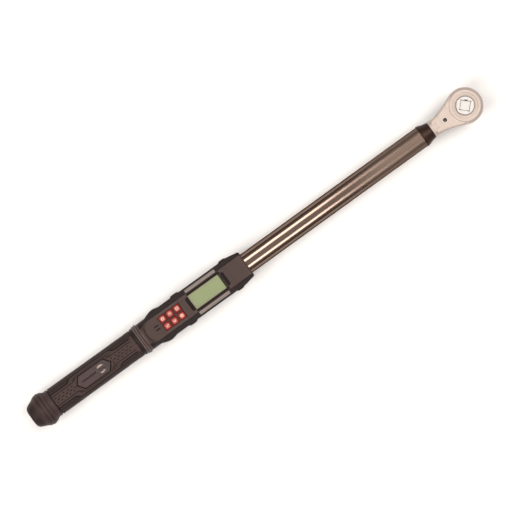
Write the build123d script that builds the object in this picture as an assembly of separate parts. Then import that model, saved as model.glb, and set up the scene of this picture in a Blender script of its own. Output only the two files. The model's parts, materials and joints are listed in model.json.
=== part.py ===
from build123d import *
import os
from math import atan2, cos, degrees, pi, sin, sqrt

# Electronic click-free torque wrench with a push-through half-inch square drive.
# Millimetres. X runs along the tool towards the head, Z out of the display face and the
# drive axis is the Z axis. Everything is drawn with the tool's centre line at z = 0 and is
# lifted on writing, so that a socket seats on the hub's lower face at z = 0.

# Head and ratchet
head_radius = 23.2
head_half = 11.0
head_flat_radius = 19.4
head_rim_half = 6.6
neck_half = 9.6
neck_rounding = 4.0
shank_radius = 10.6
shank_end = -51.2
spigot_radius = 8.0
spigot_end = -72.0
hub_radius = 11.6
hub_half = 13.5
teeth = 72
tooth_tip = 15.6
tooth_root = 14.7
wheel_half = 6.5
cavity_radius = 16.0
cavity_half = 7.0
cover_inner = 12.6
cover_outer = 17.4
cover_top = 9.5
ring_outer = 18.6
ring_inner = 16.9
ring_top = 10.7
ring_gap = 5.0

# Square drive and its detent balls
square = 12.7
square_reach = 15.5
square_turn = 45.0
square_bevel = 0.8
ball_radius = 2.0
ball_proud = 0.7
ball_inset = 7.5
pocket_depth = 6.2
track_depth = 1.0
track_half_width = 1.9
corner_relief = 0.7
detent_spring_radius = 1.3
detent_wire = 0.22

# Pawl, its spring and the pin that the spring pushes against
pawl_half_width = 6.5
pawl_back = -22.6
pawl_travel = 1.2
pawl_gap = 0.4
tooth_clearance = 0.12
spring_bore = 2.6
spring_seat_radius = 2.3
spring_seat_depth = 2.0
spring_radius = 1.8
spring_wire = 0.25
pin_x = -30.75
pin_radius = 2.6
pin_bore = 0.8

# Tube, torque beam and nose collar
tube_radius = 13.7
tube_inner = 11.7
tube_front = -64.0
tube_rear = -646.0
collar_front = -51.4
collar_rear = -66.4
collar_radius = 14.5
beam_plug = (-225.0, -200.0)
beam_head_radius = 10.5
beam_half_width = 4.5
beam_half_depth = 7.0
beam_pin_x = -69.0
beam_pin_radius = 2.0
gauge_x = (-106, -126)
lead_slot = 2.2

# Display housing
front_face = -337.6
seam_x = -361.5
housing_rear = -493.9
side_half = 20.8
widest_half = 22.7
top_z = 22.0
top_half = 15.0
bevel_z = 10.0
bottom_z = -25.0
bottom_half = 13.0
wall = 2.2
plateau_end_x = -474.5
plateau_rear_x = -481.4
ledge_z = 14.0
neck_radius = 18.9
gasket_half = 0.3
board_bottom = 15.2
board_top = 16.8
lower_bevel_z = -15.0
end_half = 18.5

# Display window
window_x = (-426.5, -366.8)
window_half = 13.4
lens_x = (-421.0, -371.7)
lens_half = 11.25
lcd_x = (-420.5, -375.1)
lcd_half = 10.2
recess_half = 9.7
light_x = (-420.6, -374.7)

# Keypad
key_names = [["key_power", "key_up", "key_menu"], ["key_enter", "key_down", "key_units"]]
key_x = [-462.4, -451.5, -440.4]
key_y = 5.45
key_hole = 9.8
key_skirt = 9.2
key_face = 7.1
key_top = 24.4
key_shoulder = 22.9
key_flange = 10.3
key_stem = 1.6
keypad_x = (-468.8, -434.8)
keypad_half = 13.9
keypad_top = 23.1

# Handle
grip_x = (-632.6, -506.8)
grip_rear_radius = 18.9
grip_front_radius = 18.3
core_radius = 15.35
nose_radius = 15.0
badge_x = (-597.0, -547.3)
badge_half = 8.9
badge_tip = 6.5
badge_radius = 18.35
badge_seat_radius = 17.35
emblem_x = -561.0
emblem_radius = 5.2
cap_front = -633.9
cap_end = -668.9
coin_slot = (12.0, 1.8, 1.4)
cell_radius = 7.25
cell_length = 50.5
cell_rear = -649.9
cells = 3

# Fits
running_gap = 0.05
seat_gap = 0.02


def block(x0, x1, y0, y1, z0, z1):
    middle = Pos((x0 + x1) / 2, (y0 + y1) / 2, (z0 + z1) / 2)
    return middle * Box(x1 - x0, y1 - y0, z1 - z0)


def rod_z(radius, z0, z1, x=0, y=0):
    return Pos(x, y, (z0 + z1) / 2) * Cylinder(radius, z1 - z0)


def rod_x(radius, x0, x1, y=0, z=0):
    return Pos((x0 + x1) / 2, y, z) * Rot(0, 90, 0) * Cylinder(radius, x1 - x0)


def ring_z(outer, inner, z0, z1):
    return rod_z(outer, z0, z1) - rod_z(inner, z0 - 1, z1 + 1)


def ring_x(outer, inner, x0, x1):
    return rod_x(outer, x0, x1) - rod_x(inner, x0 - 1, x1 + 1)


def turned_x(outline):
    """Solid of revolution about the tool's centre line from (x, radius) corners."""
    return revolve(make_face(Polyline(*outline, close=True)), Axis.X, 360)


def turned_z(outline):
    """Solid of revolution about the drive axis from (radius, z) corners."""
    return revolve(Plane.XZ * make_face(Polyline(*outline, close=True)), Axis.Z, 360)


def prism_z(points, z0, z1):
    face = Pos(0, 0, z0) * make_face(Polyline(*points, close=True))
    return extrude(face, z1 - z0, dir=(0, 0, 1))


def prism_x(points, x0, x1):
    face = Plane.YZ.offset(x0) * make_face(Polyline(*points, close=True))
    return extrude(face, x1 - x0, dir=(1, 0, 0))


def prism_y(points, half):
    face = Plane.XZ.offset(-half) * make_face(Polyline(*points, close=True))
    return extrude(face, 2 * half, dir=(0, -1, 0))


def both_sides(points):
    """Outline of (a, half-width) points closed by its mirror image."""
    return list(points) + [(a, -b) for a, b in reversed(points)]


def coil(radius, wire, length, turns):
    """Round-wire spring standing on z = 0 along Z."""
    path = Helix(length / turns, length, radius)
    start = Plane(origin=path @ 0, z_dir=path % 0)
    return sweep(start * Circle(wire), path, is_frenet=True)


def group(solids):
    return Compound([one.solid() for one in solids])


def save(node, shape):
    export_step(Pos(0, 0, hub_half) * shape, f"parts/{node}.step")


# ---------------------------------------------------------------- head


def tooth_outline(tip, root):
    points = []
    for step in range(2 * teeth):
        radius = tip if step % 2 else root
        angle = pi * step / teeth
        points.append((radius * cos(angle), radius * sin(angle)))
    return points


def head_outline():
    """Plan of the neck, from inside the round head back to the shank."""
    side = [(-8.5, 21.5), (-22.6, 16.0), (-36.0, 11.9), (-46.0, shank_radius)]
    left = Spline(*side, tangents=[(-1, -0.36), (-1, 0)])
    right = Spline(*[(x, -y) for x, y in side], tangents=[(-1, 0.36), (-1, 0)])
    front = Line(left @ 0, right @ 0)
    back = Line(left @ 1, right @ 1)
    return make_face([left, back, right, front])


def head_body():
    disc = turned_z([(0, -head_half), (head_flat_radius, -head_half), (head_radius, -head_rim_half),
                     (head_radius, head_rim_half), (head_flat_radius, head_half), (0, head_half)])
    neck = extrude(Pos(0, 0, -neck_half) * head_outline(), 2 * neck_half, dir=(0, 0, 1))
    long_edges = neck.edges().filter_by(lambda e: e.length > 30)
    neck = fillet(long_edges, neck_rounding)
    body = disc + neck + rod_x(shank_radius, shank_end, -40)
    body += rod_x(spigot_radius, spigot_end, shank_end)
    body -= rod_z(cavity_radius, -cavity_half, cavity_half)
    body -= rod_z(cover_outer + seat_gap, cavity_half, head_half + 1)
    body -= rod_z(ring_outer + seat_gap, cover_top + 0.05, ring_top + 0.05)
    body -= rod_z(hub_radius + running_gap, -head_half - 1, 0)
    body -= block(pawl_back - pawl_travel - pawl_gap, -10, -pawl_half_width - pawl_gap,
                  pawl_half_width + pawl_gap, -cavity_half, cavity_half)
    body -= rod_x(spring_bore, pin_x, pawl_back)
    body -= rod_z(pin_radius + seat_gap, -head_half, head_half, pin_x)
    body -= rod_z(beam_pin_radius + seat_gap, -spigot_radius, spigot_radius, beam_pin_x)
    return body


def square_bar(width, z0, z1):
    return Rot(0, 0, square_turn) * block(-width / 2, width / 2, -width / 2, width / 2, z0, z1)


def ratchet_wheel():
    wheel = prism_z(tooth_outline(tooth_tip, tooth_root), -wheel_half, wheel_half)
    wheel += rod_z(hub_radius, -hub_half, hub_half)
    hub_rims = wheel.edges().filter_by(GeomType.CIRCLE).group_by(Axis.Z)
    wheel = chamfer(hub_rims[0] + hub_rims[-1], 0.6)
    wheel -= square_bar(square + 2 * running_gap, -hub_half - 1, hub_half + 1)
    corner = square / sqrt(2) - 0.2
    for quarter in range(4):
        angle = quarter * pi / 2
        wheel -= rod_z(corner_relief, -hub_half - 1, hub_half + 1, corner * cos(angle), corner * sin(angle))
    track = block(0, square / 2 + track_depth, -track_half_width, track_half_width,
                  -hub_half - 1, hub_half + 1)
    return wheel - Rot(0, 0, square_turn) * track


ball_lower_z = -hub_half - square_reach + ball_inset
ball_upper_z = hub_half - ball_inset
ball_offset = square / 2 + ball_proud - ball_radius


def on_flat(shape, height):
    """Place a shape drawn along +X onto the drive's sprung flat at a height."""
    return Rot(0, 0, square_turn) * Pos(0, 0, height) * shape


def drive_square():
    bar = block(-square / 2, square / 2, -square / 2, square / 2, -hub_half - square_reach, hub_half)
    bar = fillet(bar.edges().filter_by(Axis.Z), 0.9)
    ends = bar.faces().filter_by(Axis.Z)
    bar = chamfer(ends[0].edges() + ends[1].edges(), square_bevel)
    bar = Rot(0, 0, square_turn) * bar
    for height in (ball_lower_z, ball_upper_z):
        pocket = rod_x(ball_radius + running_gap, square / 2 - pocket_depth, square)
        bar -= on_flat(pocket, height)
    return bar


def detent_ball(height):
    return on_flat(Pos(ball_offset, 0, 0) * Sphere(ball_radius), height)


def detent_spring(height):
    length = ball_offset - ball_radius - (square / 2 - pocket_depth) - 0.5
    spring = Rot(0, 90, 0) * coil(detent_spring_radius, detent_wire, length, 3)
    return on_flat(Pos(square / 2 - pocket_depth + 0.25, 0, 0) * spring, height)


def pawl():
    body = block(pawl_back, -12, -pawl_half_width, pawl_half_width, -wheel_half, wheel_half)
    body -= rod_z(tooth_root - 0.2, -wheel_half - 1, wheel_half + 1)
    mesh = tooth_outline(tooth_tip + tooth_clearance, tooth_root + tooth_clearance)
    body -= prism_z(mesh, -wheel_half - 1, wheel_half + 1)
    body -= rod_x(spring_seat_radius, pawl_back - 1, pawl_back + spring_seat_depth)
    smallest_first = sorted(body.solids(), key=lambda one: one.volume)
    return smallest_first[-1]


def pawl_spring():
    front = pawl_back + spring_seat_depth - 0.1
    back = pin_x + pin_radius + 0.1
    length = front - back - 2 * spring_wire
    return Pos(back + spring_wire, 0, 0) * Rot(0, 90, 0) * coil(spring_radius, spring_wire, length, 5)


def stop_pin():
    return Pos(pin_x, 0, 0) * ring_z(pin_radius, pin_bore, -neck_half + 0.1, neck_half - 0.1)


def cover_plate():
    return ring_z(cover_outer, cover_inner, cavity_half + seat_gap, cover_top)


def wheel_seal():
    return ring_z(cover_inner - seat_gap, hub_radius + 0.08, cavity_half + 0.1, cover_top - 0.2)


def retaining_ring():
    ring = ring_z(ring_outer, ring_inner, cover_top + 0.1, ring_top)
    return ring - block(0, head_radius, -ring_gap / 2, ring_gap / 2, 0, head_half)


# ---------------------------------------------------------------- tube


def nose_collar():
    return turned_x([(collar_front, spigot_radius + 0.1), (collar_front, 10.85), (-57.6, 12.1),
                     (-62.6, 13.9), (-65.2, collar_radius), (collar_rear, collar_radius),
                     (collar_rear, tube_radius + seat_gap), (tube_front + 0.05, tube_radius + seat_gap),
                     (tube_front + 0.05, spigot_radius + 0.1)])


cable_y = 7.6
cable_radius = 1.0
cable_exit_x = -374.0
battery_lead_y = 5.0
battery_lead_x = -476.0


def tube():
    pipe = ring_x(tube_radius, tube_inner, tube_rear, tube_front)
    pipe -= rod_z(lead_slot, 0, tube_radius + 1, cable_exit_x, cable_y)
    return pipe - rod_z(lead_slot, 0, tube_radius + 1, battery_lead_x, battery_lead_y)


def torque_beam():
    beam = rod_x(beam_head_radius, -84, tube_front - 0.4)
    beam += block(-201, -83, -beam_half_width, beam_half_width, -beam_half_depth, beam_half_depth)
    beam += rod_x(tube_inner - seat_gap, *beam_plug)
    beam -= rod_x(spigot_radius + seat_gap, spigot_end - 0.3, tube_front)
    beam -= rod_z(beam_pin_radius + seat_gap, -11, 11, beam_pin_x)
    return beam - rod_x(1.4, -226, -199, cable_y)


def beam_pin():
    return rod_z(beam_pin_radius, -10.2, 10.2, beam_pin_x)


def strain_gauges():
    patches = []
    for x in gauge_x:
        for side in (-1, 1):
            near = side * (beam_half_width + seat_gap)
            far = side * (beam_half_width + seat_gap + 0.2)
            patches.append(block(x - 3, x + 3, min(near, far), max(near, far), -2, 2))
    return group(patches)


def lead(points, radius, bend):
    """Round lead along straight runs joined by tangent arcs."""
    path = FilletPolyline(*points, radius=bend)
    start = Plane(origin=path @ 0, z_dir=path % 0)
    return sweep(start * Circle(radius), path)


def gauge_lead():
    return lead([(-130, cable_y, 0), (cable_exit_x, cable_y, 0), (cable_exit_x, cable_y, board_bottom - 0.05)],
                cable_radius, 4.0)


# ---------------------------------------------------------------- display housing


def outer_section():
    return [(top_half, top_z), (widest_half, bevel_z), (widest_half, lower_bevel_z),
            (bottom_half, bottom_z), (-bottom_half, bottom_z), (-widest_half, lower_bevel_z),
            (-widest_half, bevel_z), (-top_half, top_z)]


def inner_section():
    inner_half = side_half - wall - 0.1
    return [(13.7, top_z - wall), (inner_half, 12.3), (inner_half, -14.6), (11.8, bottom_z + wall),
            (-11.8, bottom_z + wall), (-inner_half, -14.6), (-inner_half, 12.3),
            (-13.7, top_z - wall)]


def housing_plan():
    """Half-widths of the main housing with its three swellings on each side."""
    return both_sides([(seam_x - 0.1, 22.4), (-364.3, 22.4), (-366.2, side_half), (-428.0, side_half),
                       (-429.6, 22.5), (-438.6, 22.5), (-440.6, side_half), (-459.5, side_half),
                       (-463.0, 21.9), (-467.4, widest_half), (-472.0, 22.2), (-477.5, 20.4),
                       (plateau_rear_x, end_half)])


board_screw_spots = [(-365.3, 11.0), (-365.3, -11.0), (-430.5, 11.0), (-430.5, -11.0),
                     (-479.0, 8.5), (-479.0, -8.5)]
board_post = 1.48
board_screw = 0.8
housing_post = 2.2
housing_post_foot = 3.3
housing_screw = 1.2
housing_screw_head = 2.15
housing_screw_spots = [(-370.5, 16.6), (-370.5, -16.6), (-452.0, 16.6), (-452.0, -16.6)]


def housing_shell():
    """Both halves of the main housing as one shell, before it is split."""
    front = seam_x - 0.1
    slope = (widest_half - top_half) / (top_z - bevel_z)
    dome_height = top_z - ledge_z
    dome = Cone(top_half + slope * dome_height, top_half, dome_height)
    dome = Pos(plateau_end_x, 0, top_z - dome_height / 2) * dome
    tail = block(plateau_rear_x, plateau_end_x, -30, 30, -30, ledge_z)
    outer = prism_x(outer_section(), plateau_end_x, front)
    outer += prism_x(outer_section(), plateau_rear_x, plateau_end_x) & tail
    outer &= prism_z(housing_plan(), bottom_z, top_z)
    outer += dome & block(housing_rear, plateau_end_x, -30, 30, ledge_z, top_z)
    outer += rod_x(neck_radius, housing_rear, plateau_end_x)
    shell = outer - prism_x(inner_section(), -477.5, front - wall)
    shell -= rod_z(13.0, 13.9, top_z - wall, plateau_end_x)
    posts = rod_z(board_post, board_top + 0.05, top_z - 1, *board_screw_spots[0])
    for x, y in board_screw_spots[1:]:
        posts += rod_z(board_post, board_top + 0.05, top_z - 1, x, y)
    for x, y in housing_screw_spots:
        posts += rod_z(housing_post, -16, 11, x, y)
        posts += rod_z(housing_post_foot, bottom_z, -13.5, x, y) & outer
    shell += posts
    for x, y in board_screw_spots:
        shell -= rod_z(board_screw + seat_gap, board_top - 1, 19.2, x, y)
    for x, y in housing_screw_spots:
        shell -= rod_z(housing_screw + seat_gap, -17, 9.5, x, y)
        shell -= rod_z(housing_screw_head + 0.1, bottom_z - 1, -15.95, x, y)
    return shell - rod_x(tube_radius + running_gap, housing_rear - 1, front + 1)


light_slot = [(14.3, 23.0), (18.3, 23.0), (18.6, 16.8), (16.4, 15.2), (14.3, 18.6)]
light_section = [(14.4, 22.08), (15.05, 22.08), (18.4, 16.85), (16.65, 15.6), (14.4, 19.0)]


def mirrored(points, side):
    return [(side * y, z) for y, z in points]


def housing_upper(shell):
    upper = shell & block(housing_rear - 1, seam_x + 1, -30, 30, gasket_half, 30)
    upper -= block(*window_x, -window_half, window_half, top_z - wall - 3, top_z + 1)
    for side in (-1, 1):
        upper -= prism_x(mirrored(light_slot, side), *light_x)
        upper -= block(plateau_end_x - 3.3, plateau_end_x + 3.3, side * 2.3 - 0.8, side * 2.3 + 0.8,
                       top_z - wall - 1, top_z + 1)
        for x in key_x:
            upper -= block(x - key_hole / 2, x + key_hole / 2, side * key_y - key_hole / 2,
                           side * key_y + key_hole / 2, top_z - wall - 1, top_z + 1)
    return upper


def housing_lower(shell):
    return shell & block(housing_rear - 1, seam_x + 1, -30, 30, -30, -gasket_half)


def housing_gasket(shell):
    return shell & block(housing_rear - 1, seam_x + 1, -30, 30, -gasket_half + 0.02, gasket_half - 0.02)


def front_cap():
    plan = both_sides([(seam_x + 0.1, 22.4), (-357.4, 22.4), (-355.8, 21.2), (-339.0, 18.2),
                       (front_face, 17.0)])
    side_view = [(seam_x + 0.1, top_z), (-345, 21.5), (-339, 19.6), (front_face, 18.0),
                 (front_face, -18.0), (-341, -21.0), (seam_x + 0.1, bottom_z)]
    cap = prism_x(outer_section(), seam_x + 0.1, front_face) & prism_z(plan, -30, 30)
    cap &= prism_y(side_view, 30)
    pocket = prism_x([(0.82 * y, 0.86 * z) for y, z in inner_section()], seam_x, -343.5)
    cap -= pocket - rod_x(16.4, -400, -300)
    return cap - rod_x(tube_radius + running_gap, -400, -300) - ring_x(15.2, 13.0, -342.2, -339.8)


def front_seal():
    return ring_x(15.15, tube_radius + seat_gap, -342.1, -339.9)


def housing_screws():
    screws = []
    for x, y in housing_screw_spots:
        head = rod_z(housing_screw_head, -18.2, -16.0, x, y) - rod_z(0.9, -19, -17.2, x, y)
        screws.append(head + rod_z(housing_screw, -16.0, 9.0, x, y))
    return group(screws)


def light_bar(side):
    bar = prism_x(mirrored(light_section, side), light_x[0] + 0.1, light_x[1] - 0.1)
    for share in (0.28, 0.64):
        y = 15.1 + share * 3.3
        z = top_z - (y - top_half) * (top_z - bevel_z) / (widest_half - top_half)
        bar -= rod_x(0.3, light_x[0], light_x[1], side * y, z + 0.1)
    return bar


def display_bezel():
    bezel = block(window_x[0] + 0.1, window_x[1] - 0.1, -window_half + 0.1, window_half - 0.1,
                  top_z - wall + 0.1, top_z)
    bezel -= block(lens_x[0] - 0.1, lens_x[1] + 0.1, -lens_half - 0.1, lens_half + 0.1, 15, 30)
    front = both_sides([(lens_x[1], recess_half), (-368.9, recess_half), (-367.4, recess_half - 1.5)])
    rear = both_sides([(lens_x[0], recess_half), (-424.6, recess_half), (-426.0, recess_half - 1.5)])
    for end in (front, rear):
        bezel -= prism_z(end, top_z - 1.2, top_z + 1)
    for side in (-1, 1):
        bezel -= block(lens_x[0], lens_x[1], side * 12.55 - 0.2, side * 12.55 + 0.2, top_z - 0.5, 30)
    return bezel


def lcd_lens():
    return block(*lens_x, -lens_half, lens_half, 19.95, 20.95)


def lcd_frame():
    frame = block(-422.0, -371.0, -12.0, 12.0, 19.0, 19.75)
    return frame - block(*lcd_x, -lcd_half, lcd_half, 18, 21)


def lcd_panel():
    return block(-421.6, -371.4, -11.6, 11.6, board_top + 0.2, 18.95)


def keypad_bezel():
    bezel = block(*keypad_x, -keypad_half, keypad_half, top_z + seat_gap, keypad_top)
    bezel = chamfer(bezel.faces().sort_by(Axis.Z)[-1].edges(), 0.5)
    for x in key_x:
        for side in (-1, 1):
            bezel -= block(x - key_hole / 2, x + key_hole / 2, side * key_y - key_hole / 2,
                           side * key_y + key_hole / 2, top_z - 1, keypad_top + 1)
    return bezel


def key(x, y):
    skirt = Pos(x, y, 21.25) * Box(key_skirt, key_skirt, 3.3)
    skirt = fillet(skirt.edges().filter_by(Axis.Z), 0.9)
    rise = key_top - key_shoulder
    slope = degrees(atan2((key_skirt - key_face) / 2, rise))
    top = extrude(Pos(x, y, key_shoulder) * RectangleRounded(key_skirt, key_skirt, 0.9), rise, taper=slope)
    flange = Pos(x, y, 19.3) * Box(key_flange, key_flange, 0.7)
    return skirt + top + flange + rod_z(key_stem, 18.35, 19.0, x, y)


def key_mat():
    mat = block(-468.6, -434.4, -12.3, 12.3, board_top + 0.05, 17.35)
    for x in key_x:
        for side in (-1, 1):
            mat -= rod_z(3.2, 15, 18, x, side * key_y)
    return mat


def dome_switches():
    domes = []
    for x in key_x:
        for side in (-1, 1):
            domes.append(rod_z(2.9, board_top + seat_gap, 17.2, x, side * key_y) +
                         rod_z(2.0, 17.1, 17.5, x, side * key_y))
    return group(domes)


def main_board():
    board = block(-426.0, -363.9, -15.2, 15.2, board_bottom, board_top)
    board += block(plateau_end_x, -425.0, -12.4, 12.4, board_bottom, board_top)
    board += rod_z(12.4, board_bottom, board_top, plateau_end_x)
    for x, y in board_screw_spots:
        board -= rod_z(board_screw + 0.1, board_bottom - 1, board_top + 1, x, y)
    return board


def board_chips():
    chips = [block(-411, -401, 6.5, 12.5, 14.0, board_bottom - seat_gap),
             block(-395, -388, -12.0, -6.5, 14.1, board_bottom - seat_gap),
             block(-418, -414, -12.0, -7.0, 13.8, board_bottom - seat_gap),
             block(-450, -442, 7.0, 11.5, 14.2, board_bottom - seat_gap)]
    return group(chips)


def indicator_leds():
    leds = []
    for x in (-412.0, -397.6, -383.2):
        for side in (-1, 1):
            leds.append(block(x - 1.6, x + 1.6, side * 14.3 - 0.6, side * 14.3 + 0.6,
                              board_top + seat_gap, 17.5))
    return group(leds)


def buzzer():
    return Pos(plateau_end_x, 0, 0) * ring_z(5.0, 0.9, board_top + seat_gap, 19.0)


def board_screws():
    screws = []
    for x, y in board_screw_spots:
        head = rod_z(1.4, 14.05, board_bottom - seat_gap, x, y) - rod_z(0.6, 13, 14.6, x, y)
        screws.append(head + rod_z(board_screw, board_bottom - seat_gap, 19.0, x, y))
    return group(screws)


# ---------------------------------------------------------------- handle


def grip_collar():
    return turned_x([(-506.6, tube_radius + seat_gap), (-506.6, 18.4), (-502.4, 19.0), (-501.2, 19.9),
                     (-500.2, 19.9), (-499.8, 19.5), (-499.2, 19.5), (-498.8, 20.6), (-497.6, 21.0),
                     (-496.4, 20.4), (-495.0, 19.0), (-494.0, neck_radius),
                     (-494.0, tube_radius + seat_gap)])


def handle_core():
    return turned_x([(tube_rear, tube_radius + seat_gap), (tube_rear, nose_radius - 0.8),
                     (tube_rear + 0.8, nose_radius), (-633.8, nose_radius), (-633.8, core_radius),
                     (-506.8, core_radius), (-506.8, tube_radius + seat_gap)])


def badge_plan(margin):
    """Long hexagon of the badge, or of its recess when the margin is positive."""
    rear = badge_x[0] - margin
    front = badge_x[1] + margin
    half = badge_half + margin
    return both_sides([(rear, 0.01), (rear + badge_tip, half), (front - badge_tip, half), (front, 0.01)])


def grip():
    rear, front = grip_x
    sleeve = turned_x([(rear, core_radius + seat_gap), (rear, grip_rear_radius - 0.8),
                       (rear + 1.2, grip_rear_radius), (front - 1.2, grip_front_radius),
                       (front, grip_front_radius - 0.8), (front, core_radius + seat_gap)])
    recess = prism_z(badge_plan(0.12), 12, 25) - rod_x(badge_seat_radius, badge_x[0] - 5, badge_x[1] + 5)
    return sleeve - recess


def grip_badge():
    under = badge_seat_radius + 0.05
    plate = ring_x(badge_radius, under, badge_x[0] - 5, badge_x[1] + 5) & prism_z(badge_plan(0.0), 12, 25)
    emblem = ring_x(badge_radius + 0.4, under, emblem_x - 9, emblem_x + 11)
    return plate + (emblem & rod_z(emblem_radius, 12, 25, emblem_x))


def cap_seal():
    return ring_x(17.3, core_radius + seat_gap, -633.75, -632.65)


def end_cap():
    outside = [(cap_front, 17.9), (-634.6, 18.8), (-636.2, 18.8), (-637.0, 18.2), (-640.6, 19.6),
               (-644.0, 21.4), (-648.9, 22.4), (-653.4, 21.2), (-657.6, 18.9), (-662.6, 16.6),
               (-666.6, 14.4), (cap_end, 11.0), (cap_end, 0.0)]
    inside = [(-662.8, 0.0), (-662.8, 9.5), (-661.2, 9.5), (-661.2, 8.9), (-660.6, 8.9), (-660.6, 9.5),
              (-648.5, 9.5), (-648.5, nose_radius + 0.1), (cap_front, nose_radius + 0.1)]
    cap = turned_x(outside + inside)
    length, width, depth = coin_slot
    return cap - block(cap_end - 1, cap_end + depth, -length / 2, length / 2, -width / 2, width / 2)


def contact_disc():
    return rod_x(9.3, -662.7, -661.3)


def cap_spring():
    length = cell_rear + 661.2 - 1.2
    return Pos(-660.6, 0, 0) * Rot(0, 90, 0) * coil(5.5, 0.5, length, 4)


def battery_sleeve():
    return ring_x(tube_inner - seat_gap, cell_radius + 0.2, -645.8, -498.8)


def battery_cells():
    bodies = []
    for index in range(cells):
        rear = cell_rear + index * cell_length
        can = rod_x(cell_radius, rear, rear + cell_length - 1.2)
        bodies.append(can + rod_x(2.7, rear + cell_length - 1.3, rear + cell_length - 0.02))
    return group(bodies)


def positive_contact():
    return rod_x(7.3, -498.35, -497.4)


def contact_block():
    plug = rod_x(tube_inner - seat_gap, -497.35, -491.5)
    return plug - rod_x(1.2, -498, -491, battery_lead_y)


def battery_lead():
    return lead([(-497.3, battery_lead_y, 0), (battery_lead_x, battery_lead_y, 0),
                 (battery_lead_x, battery_lead_y, board_bottom - 0.05)], 0.9, 3.0)


def main():
    os.makedirs("parts", exist_ok=True)
    shell = housing_shell()
    save("head_body", head_body())
    save("ratchet_wheel", ratchet_wheel())
    save("drive_square", drive_square())
    save("detent_ball_lower", detent_ball(ball_lower_z))
    save("detent_ball_upper", detent_ball(ball_upper_z))
    save("detent_spring_lower", detent_spring(ball_lower_z))
    save("detent_spring_upper", detent_spring(ball_upper_z))
    save("pawl", pawl())
    save("pawl_spring", pawl_spring())
    save("stop_pin", stop_pin())
    save("cover_plate", cover_plate())
    save("wheel_seal", wheel_seal())
    save("retaining_ring", retaining_ring())
    save("nose_collar", nose_collar())
    save("tube", tube())
    save("torque_beam", torque_beam())
    save("beam_pin", beam_pin())
    save("strain_gauges", strain_gauges())
    save("gauge_lead", gauge_lead())
    save("front_cap", front_cap())
    save("front_seal", front_seal())
    save("housing_upper", housing_upper(shell))
    save("housing_lower", housing_lower(shell))
    save("housing_gasket", housing_gasket(shell))
    save("housing_screws", housing_screws())
    save("light_bar_left", light_bar(1))
    save("light_bar_right", light_bar(-1))
    save("display_bezel", display_bezel())
    save("lcd_lens", lcd_lens())
    save("lcd_frame", lcd_frame())
    save("lcd_panel", lcd_panel())
    save("keypad_bezel", keypad_bezel())
    for row, side in zip(key_names, (1, -1)):
        for name, x in zip(row, key_x):
            save(name, key(x, side * key_y))
    save("key_mat", key_mat())
    save("dome_switches", dome_switches())
    save("main_board", main_board())
    save("board_chips", board_chips())
    save("indicator_leds", indicator_leds())
    save("buzzer", buzzer())
    save("board_screws", board_screws())
    save("grip_collar", grip_collar())
    save("handle_core", handle_core())
    save("grip", grip())
    save("grip_badge", grip_badge())
    save("cap_seal", cap_seal())
    save("end_cap", end_cap())
    save("contact_disc", contact_disc())
    save("cap_spring", cap_spring())
    save("battery_sleeve", battery_sleeve())
    save("battery_cells", battery_cells())
    save("positive_contact", positive_contact())
    save("contact_block", contact_block())
    save("battery_lead", battery_lead())


main()
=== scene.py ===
import json
import math

import bmesh
import bpy
import numpy as np
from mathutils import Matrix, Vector


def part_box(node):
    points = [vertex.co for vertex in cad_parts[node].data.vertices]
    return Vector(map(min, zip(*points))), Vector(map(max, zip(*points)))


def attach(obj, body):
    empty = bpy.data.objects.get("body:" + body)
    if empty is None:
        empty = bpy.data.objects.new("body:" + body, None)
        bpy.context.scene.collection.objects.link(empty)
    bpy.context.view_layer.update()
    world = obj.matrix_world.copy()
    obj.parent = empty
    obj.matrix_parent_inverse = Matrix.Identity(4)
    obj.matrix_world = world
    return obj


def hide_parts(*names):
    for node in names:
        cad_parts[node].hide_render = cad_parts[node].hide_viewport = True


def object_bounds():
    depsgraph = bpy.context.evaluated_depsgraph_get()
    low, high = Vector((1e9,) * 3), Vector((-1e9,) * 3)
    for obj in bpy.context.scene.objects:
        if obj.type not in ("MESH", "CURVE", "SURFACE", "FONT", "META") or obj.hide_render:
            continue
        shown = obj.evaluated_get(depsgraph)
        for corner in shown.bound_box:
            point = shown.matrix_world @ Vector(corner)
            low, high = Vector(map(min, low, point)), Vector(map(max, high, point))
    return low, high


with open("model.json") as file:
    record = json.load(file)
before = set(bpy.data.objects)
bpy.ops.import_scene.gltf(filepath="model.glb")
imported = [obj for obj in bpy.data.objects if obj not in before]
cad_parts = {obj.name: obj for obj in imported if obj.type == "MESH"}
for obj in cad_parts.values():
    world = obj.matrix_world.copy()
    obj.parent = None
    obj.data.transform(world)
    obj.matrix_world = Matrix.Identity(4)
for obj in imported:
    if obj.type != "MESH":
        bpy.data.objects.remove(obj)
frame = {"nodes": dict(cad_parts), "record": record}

mm = 0.001
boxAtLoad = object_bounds()
nodes = frame["nodes"]
tubeLow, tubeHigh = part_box("tube")
axisZ = (tubeLow.z + tubeHigh.z) / 2  # the tool's centre line, above the socket seat
print("frame loaded with", len(nodes), "CAD nodes")


def hexToLinear(code):
    channels = [int(code[i:i + 2], 16) / 255 for i in (1, 3, 5)]
    linear = [c / 12.92 if c <= 0.04045 else ((c + 0.055) / 1.055) ** 2.4 for c in channels]
    return (*linear, 1.0)


def setSockets(node, values):
    # colours are given as sRGB hex
    for socket, value in values.items():
        node.inputs[socket].default_value = hexToLinear(value) if isinstance(value, str) else value


def addNode(tree, kind, values=None, links=None, **settings):
    node = tree.nodes.new(kind)
    for name, value in settings.items():
        setattr(node, name, value)
    setSockets(node, values or {})
    for socket, source in (links or {}).items():
        tree.links.new(source, node.inputs[socket])
    return node


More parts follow.
